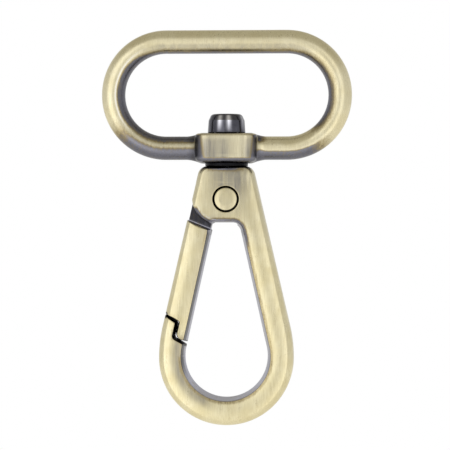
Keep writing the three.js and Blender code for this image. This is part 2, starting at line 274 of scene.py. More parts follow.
def new_object(name, bm):
    """A linked object from a bmesh, with its normals outward."""
    bmesh.ops.remove_doubles(bm, verts=bm.verts, dist=1e-5)
    bmesh.ops.recalc_face_normals(bm, faces=bm.faces)
    mesh = bpy.data.meshes.new(name)
    bm.to_mesh(mesh)
    bm.free()
    obj = bpy.data.objects.new(name, mesh)
    bpy.context.scene.collection.objects.link(obj)
    return obj


def closed_edge_loop(bm, points, y):
    verts = [bm.verts.new((p.x, y, p.y)) for p in points]
    return verts, [bm.edges.new(pair) for pair in zip(verts, verts[1:] + verts[:1])]


def slab(points, depth):
    """A straight slab of an outline, centred on Y = 0."""
    bm = bmesh.new()
    verts, _ = closed_edge_loop(bm, points, -depth / 2)
    face = bm.faces.new(verts)
    back = bmesh.ops.extrude_face_region(bm, geom=[face])["geom"]
    moved = [v for v in back if isinstance(v, bmesh.types.BMVert)]
    bmesh.ops.translate(bm, verts=moved, vec=(0, depth, 0))
    return new_object("slab", bm)


def inward_normals(points):
    """The inward direction at each point of an anticlockwise outline."""
    normals = []
    for i in range(len(points)):
        along = (points[(i + 1) % len(points)] - points[i - 1]).normalized()
        normals.append(Vector((-along.y, along.x)))
    return normals


def layered(points, layers):
    """A closed solid through layers, each (y, inset for every point)."""
    inward = inward_normals(points)
    bm = bmesh.new()
    first_y, first_inset = layers[0]
    verts, edges = closed_edge_loop(bm, points, first_y)
    bm.faces.new(verts)
    for v, n, d in zip(verts, inward, first_inset):
        v.co += Vector((n.x * d, 0, n.y * d))
    for y, inset in layers[1:]:
        grown = bmesh.ops.extrude_edge_only(bm, edges=edges)["geom"]
        edges = [g for g in grown if isinstance(g, bmesh.types.BMEdge)]
        verts = [g for g in grown if isinstance(g, bmesh.types.BMVert)]
        for v, p, n, d in zip(verts, points, inward, inset):
            v.co = Vector((p.x + n.x * d, y, p.y + n.y * d))
    bm.faces.new(verts)
    return new_object("layered", bm)


def turned(profile, steps=96, axis="Z", centre=(0, 0, 0)):
    """A solid turned from (radius, height) points that start and end on the axis."""
    bm = bmesh.new()
    verts = [bm.verts.new((radius, 0, height)) for radius, height in profile]
    edges = [bm.edges.new(pair) for pair in zip(verts, verts[1:])]
    bmesh.ops.spin(
        bm, geom=verts + edges, cent=(0, 0, 0), axis=(0, 0, 1), dvec=(0, 0, 0),
        angle=2 * math.pi, steps=steps, use_merge=True, use_normal_flip=False, use_duplicate=False,
    )
    if axis == "Y":
        quarter_turn = Matrix.Rotation(math.pi / 2, 3, "X")
        bmesh.ops.rotate(bm, verts=bm.verts, cent=(0, 0, 0), matrix=quarter_turn)
    bmesh.ops.translate(bm, verts=bm.verts, vec=centre)
    return new_object("turned", bm)


def cylinder(radius, low, high, axis="Z", centre=(0, 0, 0)):
    return turned([(0, low), (radius, low), (radius, high), (0, high)], axis=axis, centre=centre)


def on_pin(radius, width):
    return cylinder(radius, -width / 2, width / 2, axis="Y", centre=(0, 0, PIN_Z))


def applied(obj):
    """The object with its modifiers made part of its mesh."""
    graph = bpy.context.evaluated_depsgraph_get()
    mesh = bpy.data.meshes.new_from_object(obj.evaluated_get(graph))
    old = obj.data
    obj.modifiers.clear()
    obj.data = mesh
    bpy.data.meshes.remove(old)
    return obj


def combine(target, other, operation):
    """target with other joined to it (UNION), cut from it (DIFFERENCE) or kept (INTERSECT)."""
    modifier = target.modifiers.new("combine", "BOOLEAN")
    modifier.operation = operation
    modifier.solver = "EXACT"
    modifier.object = other
    applied(target)
    bpy.data.objects.remove(other)
    return target


def vertex_arrays(obj):
    """Positions in millimetres and normals of a mesh's vertices."""
    count = len(obj.data.vertices)
    places = np.empty(count * 3, dtype=np.float32)
    obj.data.vertices.foreach_get("co", places)
    normals = np.empty(count * 3, dtype=np.float32)
    obj.data.vertex_normals.foreach_get("vector", normals)
    return places.reshape(-1, 3), normals.reshape(-1, 3)


def ramp(values, low, high):
    """0 below low, 1 above high and a smooth step between."""
    share = np.clip((values - low) / (high - low), 0, 1)
    return share * share * (3 - 2 * share)


def as_cast(obj, voxel, smoothing, dressed=None, limit=190000):
    """The edges and inside corners eased as a mould and a polishing wheel leave them."""
    remesh = obj.modifiers.new("remesh", "REMESH")
    remesh.mode = "VOXEL"
    remesh.voxel_size = voxel
    applied(obj)
    if dressed:
        dressed(obj)
    bm = bmesh.new()
    bm.from_mesh(obj.data)
    for _ in range(smoothing):
        bmesh.ops.smooth_vert(
            bm, verts=bm.verts, factor=0.5, use_axis_x=True, use_axis_y=True, use_axis_z=True,
        )
    bm.to_mesh(obj.data)
    bm.free()
    triangles = 2 * len(obj.data.polygons)
    if triangles > limit:
        thin = obj.modifiers.new("thin", "DECIMATE")
        thin.ratio = limit / triangles
        applied(obj)
    return obj


def distance_to(path, x, z):
    """Distance of many places from a line of points."""
    ends = np.array([(p[0], p[1]) for p in path])
    starts, along = ends[:-1], np.diff(ends, axis=0)
    length = np.maximum((along**2).sum(axis=1), 1e-12)
    nearest = np.full(len(x), 1e9, dtype=np.float32)
    for (sx, sz), (ax, az), l in zip(starts, along, length):
        share = np.clip(((x - sx) * ax + (z - sz) * az) / l, 0, 1)
        nearest = np.minimum(nearest, np.hypot(x - sx - share * ax, z - sz - share * az))
    return nearest


def edge_distances(x, z):
    """Distance of many places from the hook's outer outline and from the eye's."""
    hook_edge = evenly(teardrop(HOOK_RING, HEAD_TOP, HEAD_CORNER, HEAD_CORNER), 1)
    eye_edge = evenly(teardrop(EYE_RING, HEAD_BOTTOM, EYE_GATE_CORNER, EYE_CORNER), 1)
    return distance_to(hook_edge + hook_edge[:1], x, z), distance_to(eye_edge + eye_edge[:1], x, z)


def crowned(obj):
    """The faces dressed to a low crown that falls away towards the outside and towards the eye."""
    places, _ = vertex_arrays(obj)
    x, y, z = places.T
    outside, inside = edge_distances(x, z)
    head = ramp(z, PIN_Z - 4, PIN_Z + 1)
    outer_drop = CROWN_DROP * (1 - 0.6 * head * ramp(-x, -1, 2))
    inner_drop = INNER_CROWN_DROP * (1 - 0.5 * ramp(z, HEAD_BOTTOM - 2, HEAD_BOTTOM))
    drop = outer_drop * np.clip(1 - outside / CROWN_REACH, 0, 1)**2.5
    drop += inner_drop * np.clip(1 - inside / CROWN_REACH, 0, 1)**2.5
    places[:, 1] = np.sign(y) * np.minimum(np.abs(y), HALF_DEPTH - drop)
    obj.data.vertices.foreach_set("co", places.astype(np.float32).ravel())
    obj.data.update()
    return obj


# ---- Strap loop -------------------------------------------------------------------------------

def loop_bar():
    """The oval of round bar: two half turns of its section joined by straight stretches."""
    end_radius = LOOP_OPENING_HEIGHT / 2 + BAR_RADIUS
    half_straight = LOOP_HALF_WIDTH - LOOP_OPENING_HEIGHT / 2 - BAR
    mid = -LOOP_OPENING_HEIGHT / 2
    bm = bmesh.new()
    made = bmesh.ops.create_circle(bm, cap_ends=False, segments=64, radius=BAR_RADIUS)["verts"]
    bmesh.ops.rotate(bm, verts=made, cent=(0, 0, 0), matrix=Matrix.Rotation(math.pi / 2, 3, "Y"))
    bmesh.ops.translate(bm, verts=made, vec=(-half_straight, 0, mid + end_radius))
    ring = list(bm.edges)
    for side in (1, -1):
        grown = bmesh.ops.extrude_edge_only(bm, edges=ring)["geom"]
        moved = [g for g in grown if isinstance(g, bmesh.types.BMVert)]
        bmesh.ops.translate(bm, verts=moved, vec=(2 * side * half_straight, 0, 0))
        ring = [g for g in grown if isinstance(g, bmesh.types.BMEdge)]
        spun = bmesh.ops.spin(
            bm, geom=moved + ring, cent=(side * half_straight, 0, mid), axis=(0, 1, 0),
            dvec=(0, 0, 0), angle=math.pi, steps=64, use_merge=False, use_normal_flip=False,
            use_duplicate=False,
        )["geom_last"]
        ring = [g for g in spun if isinstance(g, bmesh.types.BMEdge)]
    return new_object("loop_bar", bm)


def boss_barrel():
    """The barrel that the post turns in: round corners, a small top rim and a wide bevel below."""
    bm = bmesh.new()
    bmesh.ops.create_cube(bm, size=1)
    bmesh.ops.scale(bm, verts=bm.verts, vec=(BOSS_WIDTH, BOSS_DEPTH, BOSS_HEIGHT))
    bmesh.ops.translate(bm, verts=bm.verts, vec=(0, 0, BAR_CENTRE))
    upright = [e for e in bm.edges if abs(e.verts[0].co.z - e.verts[1].co.z) > 1]
    bmesh.ops.bevel(
        bm, geom=upright, offset=BOSS_CORNER, segments=14, profile=0.5, material=-1, affect="EDGES",
    )
    for level, rounding in ((BOSS_TOP, BOSS_TOP_EDGE), (BOSS_BOTTOM, BOSS_BOTTOM_EDGE)):
        rim = [e for e in bm.edges if all(abs(v.co.z - level) < 1e-4 for v in e.verts)]
        bmesh.ops.bevel(
            bm, geom=rim, offset=rounding, segments=6, profile=0.5, material=-1, affect="EDGES",
        )
    return new_object("boss_barrel", bm)


def boss_flares():
    """The swelling of the bar where it runs into the boss, on both sides."""
    end = BOSS_WIDTH / 2 + FLARE_REACH
    inside = BOSS_WIDTH / 2 - FLARE_INSIDE
    steps = 16
    half = []
    for i in range(steps + 1):
        share = i / steps
        half.append((BAR_RADIUS - 0.05 + FLARE_SWELL * share**2, end + (inside - end) * share))
    profile = [(0, end)] + half + [(r, -x) for r, x in reversed(half)] + [(0, -end)]
    flares = turned(profile)
    flares.data.transform(Matrix.Rotation(math.pi / 2, 4, "Y"))
    flares.data.transform(Matrix.Translation((0, 0, BAR_CENTRE)))
    return flares


def strap_loop():
    loop = combine(loop_bar(), boss_flares(), "UNION")
    loop = combine(loop, boss_barrel(), "UNION")
    bore = cylinder(SHANK_RADIUS + TURNING_GAP, BOSS_BOTTOM - OVERRUN, BOSS_TOP + OVERRUN)
    loop = combine(loop, bore, "DIFFERENCE")
    return as_cast(loop, voxel=0.13, smoothing=8)


# ---- Hook body and gate -----------------------------------------------------------------------

def rounding_at(point, normal):
    """How far in from its edge the face is rounded: little at the top, far on the ring."""
    share = min(1, max(0, (PIN_Z + 1 - point.y) / (PIN_Z + 1 - HOOK_CENTRE)))
    side = ROUNDING_AT_HEAD + (ROUNDING_AT_RING - ROUNDING_AT_HEAD) * share
    return ROUNDING_AT_TOP + (side - ROUNDING_AT_TOP) * min(1, abs(normal.x) * 1.2 + share)


def edge_profile(radius, steps=6):
    """Steps of a quarter round at a face: how deep each lies and how far it opens the cut."""
    angles = (math.pi / 2 * i / steps for i in range(steps + 1))
    return [(HALF_DEPTH - radius * (1 - math.sin(a)), radius * (1 - math.cos(a))) for a in angles]


def hook_blank():
    """The head and ring as one rounded teardrop, before any cuts."""
    points = evenly(teardrop(HOOK_RING, HEAD_TOP, HEAD_CORNER, HEAD_CORNER), 0.4)
    widths = [rounding_at(p, n) for p, n in zip(points, inward_normals(points))]
    steps = 14
    front = []
    for i in range(steps + 1):
        angle = math.pi / 2 * i / steps
        y = SIDE_LAND + (HALF_DEPTH - SIDE_LAND) * math.sin(angle)
        front.append((y, [w * (1 - math.cos(angle)) for w in widths]))
    return layered(points, faces_both_ways(front))


def faces_both_ways(half):
    """Layers for both halves of a cutter from those of its front half."""
    return [(-y, insets) for y, insets in reversed(half) if y > 0] + half


def eye_cutter():
    """The eye: narrowest on the parting line, wider at both faces by the draft, its edges rounded
    off, most of all under the head."""
    points = evenly(teardrop(EYE_RING, HEAD_BOTTOM, EYE_GATE_CORNER, EYE_CORNER), 0.3)
    near_head = [min(1, max(0, (p.y - HEAD_BOTTOM + 4.0) / 4.0))**2 for p in points]
    radii = [EYE_EDGE + (EYE_EDGE_AT_HEAD - EYE_EDGE) * share for share in near_head]
    half = [(PARTING_LAND / 2, [0.0] * len(points))]
    for i in range(9):
        y = HALF_DEPTH - EYE_EDGE_AT_HEAD * (1 - math.sin(math.pi / 2 * i / 8))
        drafted = (y - PARTING_LAND / 2) * math.tan(EYE_DRAFT)
        opened = [r - math.sqrt(max(0, r**2 - max(0, y - HALF_DEPTH + r)**2)) for r in radii]
        half.append((y, [-drafted - o for o in opened]))
    half.append((HALF_DEPTH + FACE_OVERRUN, half[-1][1]))
    return layered(points, faces_both_ways(half))


def whole_ring():
    return combine(hook_blank(), eye_cutter(), "DIFFERENCE")


def split_draft(points, draft):
    """How far the split's faces stand out on the parting line, most of all in its channel."""
    return [draft + CHANNEL_DRAFT * min(1, max(0, abs(n.x) - 0.5) * 3) for n in inward_normals(points)]


def gate_bay():
    """What is cut away for the gate: from the cheeks' round corner down to the nose."""
    side_at_head = (-outer_side(HEAD_BOTTOM), HEAD_BOTTOM)
    side_at_pin = (-outer_side(PIN_Z), PIN_Z)
    lip_rise = NOSE_RISE + LIP_HEIGHT
    outside = on_arm(lip_rise + slant_fall(LIP_THICKNESS + OVERRUN), -OVERRUN)
    lip = on_arm(lip_rise, LIP_THICKNESS)
    seat = on_arm(NOSE_RISE, LIP_THICKNESS)
    seat_end = on_arm(NOSE_RISE - slant_fall(HOOK_RADIUS - LIP_THICKNESS), HOOK_RADIUS)
    points = [Vector((0, HEAD_BOTTOM))]
    points += corner_arc((0, HEAD_BOTTOM), side_at_head, side_at_pin, CHEEK_CORNER)
    points += [Vector((outside.x, PIN_Z)), outside]
    points += corner_arc(outside, lip, seat, STEP_RADIUS)
    points += corner_arc(lip, seat, seat_end, STEP_RADIUS + NOSE_DRAFT + CHANNEL_DRAFT)
    points += [seat_end]
    points = evenly(points, 0.5)
    half = [(0.0, split_draft(points, NOSE_DRAFT))]
    eased = [1.1 if p.y > HEAD_BOTTOM - CUT_EDGE else 0.5 for p in points]
    half += [(y, [-opened * share for share in eased]) for y, opened in edge_profile(CUT_EDGE)]
    half.append((HALF_DEPTH + FACE_OVERRUN, half[-1][1]))
    return layered(points, faces_both_ways(half))


def cheek_slot():
    """The slot between the cheeks for the gate's tab."""
    left, right = -HOOK_RADIUS, SPRING_RADIUS + SPRING_WIRE / 2 + TURNING_GAP
    bottom = HEAD_BOTTOM - OVERRUN / 2
    width = TAB_THICKNESS + 2 * TAB_SIDE_GAP
    points = [Vector(p) for p in ((left, bottom), (right, bottom), (right, SLOT_TOP), (left, SLOT_TOP))]
    return combine(slab(points, width), on_pin(TAB_EYE_RADIUS + TAB_EYE_GAP, width), "UNION")


def pin_way():
    """The pin's hole through both cheeks, with a counterbore at each face."""
    radius = PIN_HEAD_RADIUS + PIN_HEAD_GAP
    floor = HALF_DEPTH - PIN_HEAD_THICKNESS - SMALL_GAP
    shank = PIN_SHANK_RADIUS + SMALL_GAP
    end = HALF_DEPTH + 1
    profile = [
        (0, -end), (radius, -end), (radius, -floor), (shank, -floor),
        (shank, floor), (radius, floor), (radius, end), (0, end),
    ]
    return turned(profile, axis="Y", centre=(0, 0, PIN_Z))


def hook_body():
    body = whole_ring()
    seat_depth = HEAD_TOP - POST_LOW.z + SMALL_GAP
    shank_seat = cylinder(SHANK_RADIUS + SMALL_GAP, HEAD_TOP - seat_depth, HEAD_TOP + OVERRUN)
    for cutter in (gate_bay(), cheek_slot(), pin_way(), shank_seat):
        body = combine(body, cutter, "DIFFERENCE")
    return as_cast(body, voxel=0.1, smoothing=3, dressed=crowned)


def shoulder_foot():
    """Where the line square to the gate's shoulder from the pin meets the shoulder."""
    centre_z = HEAD_BOTTOM + CHEEK_CORNER
    centre = Vector((CHEEK_CORNER / math.cos(HOOK_TAPER) - outer_side(centre_z), centre_z))
    pin = Vector((0, PIN_Z))
    reach = (centre - pin).length + CHEEK_CORNER + SHOULDER_GAP
    return pin - reach * Vector((math.sin(SHOULDER_TILT), math.cos(SHOULDER_TILT)))


def gate_blade():
    """The stretch of the ring from the shoulder to the tongue behind the nose's lip."""
    foot = shoulder_foot()

    def shoulder_at(x):
        return (x, foot.y - (x - foot.x) * math.tan(SHOULDER_TILT), 0)

    channel = LIP_THICKNESS + LIP_SIDE_GAP
    slant = math.cos(SPLIT_SLANT)
    step_rise = NOSE_RISE + LIP_HEIGHT - slant_fall(LIP_SIDE_GAP) + LIP_TOP_GAP / slant
    tongue_rise = NOSE_RISE - slant_fall(LIP_SIDE_GAP + TONGUE_RADIUS) + SEAT_GAP / slant
    outline = rounded_outline([
        shoulder_at(0),
        shoulder_at(-HOOK_RADIUS - OVERRUN),
        (*on_arm(step_rise + slant_fall(channel + OVERRUN), -OVERRUN), 0),
        (*on_arm(step_rise, channel), STEP_RADIUS),
        (*on_arm(tongue_rise, channel), TONGUE_RADIUS),
        (*on_arm(tongue_rise, HOOK_RADIUS), 0),
    ])
    points = evenly(outline, 0.5)
    half = [(0.0, [-d for d in split_draft(points, GATE_DRAFT)])]
    half += [(y, [opened] * len(points)) for y, opened in edge_profile(CUT_EDGE)]
    half.append((HALF_DEPTH + FACE_OVERRUN, half[-1][1]))
    return combine(whole_ring(), layered(points, faces_both_ways(half)), "INTERSECT")


def gate_tab():
    """The thin part of the gate that goes up between the cheeks to its eye on the pin."""
    root = shoulder_foot().y - OVERRUN / 2
    knuckle = PIN_Z + TAB_KNUCKLE_RISE

    def outer(z):
        return TAB_INSET / math.cos(HOOK_TAPER) - outer_side(z)

    def inner(z):
        return -TAB_INNER_INSET / math.cos(EYE_TAPER) - eye_side(z)

    strip = rounded_outline([
        (outer(root), root, 0),
        (inner(root), root, 0),
        (inner(PIN_Z), PIN_Z, 0),
        (0, PIN_Z, 0),
        (0, knuckle, 0),
        (outer(knuckle), knuckle, TAB_KNUCKLE_RADIUS),
    ])
    return combine(slab(strip, TAB_THICKNESS), on_pin(TAB_EYE_RADIUS, TAB_THICKNESS), "UNION")


def spring_room():
    """The groove for the spring's coil and the channel for its leg."""
    width = (SPRING_TURNS + 0.5) * SPRING_PITCH + SPRING_WIRE + 2 * SMALL_GAP
    floor = SPRING_RADIUS + SPRING_WIRE / 2 + SMALL_GAP
    reach = SPRING_GATE_LEG + SPRING_WIRE
    lean = Matrix.Rotation(-EYE_TAPER, 2)
    corners = [Vector(p) for p in ((-floor, 0), (-floor, -reach), (0, -reach), (0, 0))]
    points = [lean @ c + Vector((0, PIN_Z)) for c in corners]
    return combine(slab(points, width), on_pin(TAB_EYE_RADIUS + TAB_EYE_GAP, width), "UNION")


def gate():
    piece = combine(gate_blade(), gate_tab(), "UNION")
    piece = combine(piece, spring_room(), "DIFFERENCE")
    piece = combine(piece, on_pin(PIN_SHANK_RADIUS + TURNING_GAP, 2 * HALF_DEPTH), "DIFFERENCE")
    return as_cast(piece, voxel=0.075, smoothing=3, dressed=crowned)


# ---- Post, washer, pin and spring -------------------------------------------------------------

def rounded_profile(corners):
    """A turned profile through (radius, height, corner radius)."""
    points = [corners[0][:2]]
    for before, here, after in zip(corners, corners[1:], corners[2:]):
        points += [tuple(p) for p in corner_arc(before[:2], here[:2], after[:2], here[2])]
    return points + [corners[-1][:2]]


def swivel_post():
    radius = POST_HIGH.x
    base = BOSS_TOP + TURNING_GAP
    return turned(rounded_profile([
        (0, POST_LOW.z, 0),
        (SHANK_RADIUS, POST_LOW.z, 0.2),
        (SHANK_RADIUS, base, 0),
        (radius, base, 0.12),
        (radius * 0.955, POST_HIGH.z - 1.2, 0.5),
        (radius * 0.80, POST_HIGH.z, 0.75),
        (0, POST_HIGH.z, 0),
    ]), steps=128)


def swivel_washer():
    """A stamped ring that all but fills the space between the boss and the head."""
    bore = SHANK_RADIUS + TURNING_GAP
    low, high = HEAD_TOP, BOSS_BOTTOM - 0.06
    outline = [
        (bore, low, 0.05), (WASHER_HIGH.x, low, 0.12), (WASHER_HIGH.x, high, 0.12), (bore, high, 0.05),
    ]
    profile = [tuple(p) for p in rounded_outline(outline)]
    return turned(profile + profile[:1], steps=128)


def gate_pin():
    face = HALF_DEPTH
    under = face - PIN_HEAD_THICKNESS
    half = rounded_profile([
        (PIN_SHANK_RADIUS, 0, 0),
        (PIN_SHANK_RADIUS, under, 0.05),
        (PIN_HEAD_RADIUS, under, 0.05),
        (PIN_HEAD_RADIUS, face - 0.12, 0.25),
        (PIN_HEAD_RADIUS * 0.55, face - 0.01, 1.5),
        (0, face, 0),
    ])
    profile = [(r, -h) for r, h in reversed(half)] + half[1:]
    return turned(profile, steps=96, axis="Y", centre=(0, 0, PIN_Z))


def gate_spring():
    """Torsion spring: a leg on the slot's end, turns round the pin and a leg in the gate."""
    sweep = SPRING_TURNS * 2 * math.pi + math.pi - EYE_TAPER
    rise = SPRING_PITCH / (2 * math.pi)
    turns = 90
    path = [Vector((SPRING_RADIUS, -sweep / 2 * rise, PIN_Z - SPRING_HOOK_LEG))]
    for i in range(turns + 1):
        angle = sweep * i / turns
        x, z = SPRING_RADIUS * math.cos(angle), SPRING_RADIUS * math.sin(angle)
        path.append(Vector((x, (angle - sweep / 2) * rise, PIN_Z + z)))
    leg = Vector((-math.sin(EYE_TAPER), 0, -math.cos(EYE_TAPER))) * SPRING_GATE_LEG
    path.append(path[-1] + leg)
    curve = bpy.data.curves.new("gate_spring_wire", "CURVE")
    curve.dimensions = "3D"
    curve.bevel_depth = SPRING_WIRE / 2
    curve.bevel_resolution = 3
    curve.use_fill_caps = True
    spline = curve.splines.new("POLY")
    spline.points.add(len(path) - 1)
    for point, place in zip(spline.points, path):
        point.co = (*place, 1)
    wire = bpy.data.objects.new("gate_spring_wire", curve)
    bpy.context.scene.collection.objects.link(wire)
    graph = bpy.context.evaluated_depsgraph_get()
    bm = bmesh.new()
    bm.from_mesh(wire.evaluated_get(graph).to_mesh())
    bpy.data.objects.remove(wire)
    return new_object("gate_spring_wire", bm)


# ---- Where the finish was brushed back, and the painted light and shade -----------------------

def paint(obj, name, values):
    attribute = obj.data.attributes.new(name, "FLOAT", "POINT")
    attribute.data.foreach_set("value", np.clip(values, 0, 1).astype(np.float32))


def paint_finish(obj, brushed, dark, grey, smoky):
    """The finish as attributes: brushed back to brass; dark in creases and recesses, partly the
    blackened plate and partly painted shade; pale grey where it was never brushed, with painted
    highlight lines along some edges; and a smoky grey film, streaky where the strokes left it and
    elsewhere just a darker tone."""
    paint(obj, "brushed", brushed)
    paint(obj, "dark", dark)
    paint(obj, "grey", grey)
    paint(obj, "smoky", smoky)


def paint_loop(obj):
    """Brushed on the outside and the front and back, left dark inside the oval and below it. Some marks
    are painted light: highlight lines, a clear strip down the boss and shade in the creases.
    """
    place, normal = vertex_arrays(obj)
    x, y, z = place.T
    nx, ny, nz = normal.T
    mid = -LOOP_OPENING_HEIGHT / 2
    straight = LOOP_HALF_WIDTH - LOOP_OPENING_HEIGHT / 2 - BAR
    out_x = np.sign(x) * np.maximum(np.abs(x) - straight, 0)
    out_z = np.where(np.abs(x) > straight, z - mid, np.sign(z - mid))
    length = np.hypot(out_x, out_z) + 1e-9
    outward = (nx * out_x + nz * out_z) / length
    upright = ramp(np.abs(out_x) / length, 0.2, 0.9)
    # The brass reaches round the bar differently at the left and right ends, and the bands on the lower
    # bars differ by side: partly the plating's wear, partly painted light matched to the lamps on each
    # side.
    right = ramp(x, -2, 2)
    start = -0.95 + upright * (0.43 * (1 - right) + 0.13 * right)
    end = -0.50 + upright * (0.26 * (1 - right) + 0.45 * right)
    brushed = np.clip((outward - start) / (end - start), 0, 1)

    angle = np.degrees(np.arctan2(mid - z, np.maximum(np.abs(x) - straight, 0)))
    lower = ramp(angle + 16 * (1 - right), 35, 72)
    left_band = np.exp(-((outward + 0.22) / 0.25)**2)
    right_band = ramp(0.36 - outward, 0, 0.22)
    band = left_band * (1 - right) + right_band * right
    brushed = brushed * (1 - lower) + band * lower

    from_boss = np.abs(x) - BOSS_WIDTH / 2
    taper = ramp(from_boss, 0.3, 2.4) + ramp(np.abs(outward + 0.15), 0.45, 0.1)
    brushed *= np.clip(np.where(lower > 0.5, taper, 1), 0, 1)
    in_boss = ramp(-from_boss, -0.1, 0.15) * ramp(-z, -BOSS_TOP - 1, -BOSS_TOP - 0.2)
    face = ramp(np.abs(ny), 0.45, 0.85) * ramp(nz, -0.4, -0.05)
    half_face = BOSS_WIDTH / 2 - 0.25 - 0.13 * (BOSS_TOP - z) - np.where(x < 0, 0.7, 0.1)
    face *= ramp(half_face - np.abs(x), -0.2, 0.7)
    face = np.maximum(face, ramp(nz, 0.3, 0.7) * ramp(np.abs(y), 1.5, 3.2))
    brushed = brushed * (1 - in_boss) + face * in_boss
    bore = (np.hypot(x, y) < SHANK_RADIUS + 0.35) & (in_boss > 0.5)
    brushed[bore] = 0

    # Near-black where the bars meet the boss and inside the bore: partly the blackened plate in the
    # hollows, partly painted shade, wider and darker on the left.
    near_face = ramp(np.abs(y), BAR_RADIUS - 1.2, BAR_RADIUS + 1.0)
    wide = np.where(x < 0, 1.7, 1.0)
    crease_patina_and_shade = ramp(wide - np.abs(from_boss - 0.15), 0, wide)
    crease_patina_and_shade *= np.maximum(near_face, np.where(x < 0, 0.65, 0.35))
    crease_patina_and_shade *= (0.85 - 0.3 * right) * lower * (1 - face * in_boss)
    crease_patina_and_shade = np.maximum(crease_patina_and_shade, bore)

    # Painted highlights: a pale grey line down the inside of the loop's left end, and a paler band on
    # the dark plate of the lower bars.
    left_end_highlight = 0.9 * np.exp(-((outward + 0.24) / 0.08)**2) * upright * (1 - right) * (1 - lower)
    grey = np.maximum(left_end_highlight, 0.1 + 0.2 * lower * np.exp(-((outward - 0.3) / 0.2)**2))
    # Painted highlight: the film is left off a strip down the boss's face at X = 1.9 mm. Below it the
    # film thickens, so the boss is darker towards the bottom.
    bright = np.exp(-((x - 1.9) / 1.5)**2)
    smoky = in_boss * (1 - 0.95 * bright) * (0.35 + 0.65 * ramp(BOSS_TOP - z, 0.4, 2.0))
    # The brass is darker over the lower half of the top bar's inner side, and over the lower bar's left
    # half.
    underside = ramp(-outward, 0.05, 0.35) * (1 - upright) * (z > mid)
    smoky += (0.5 * underside + 0.35 * lower * (1 - right)) * (1 - in_boss)
    paint_finish(obj, brushed, crease_patina_and_shade, grey, np.clip(smoky, 0, 1))


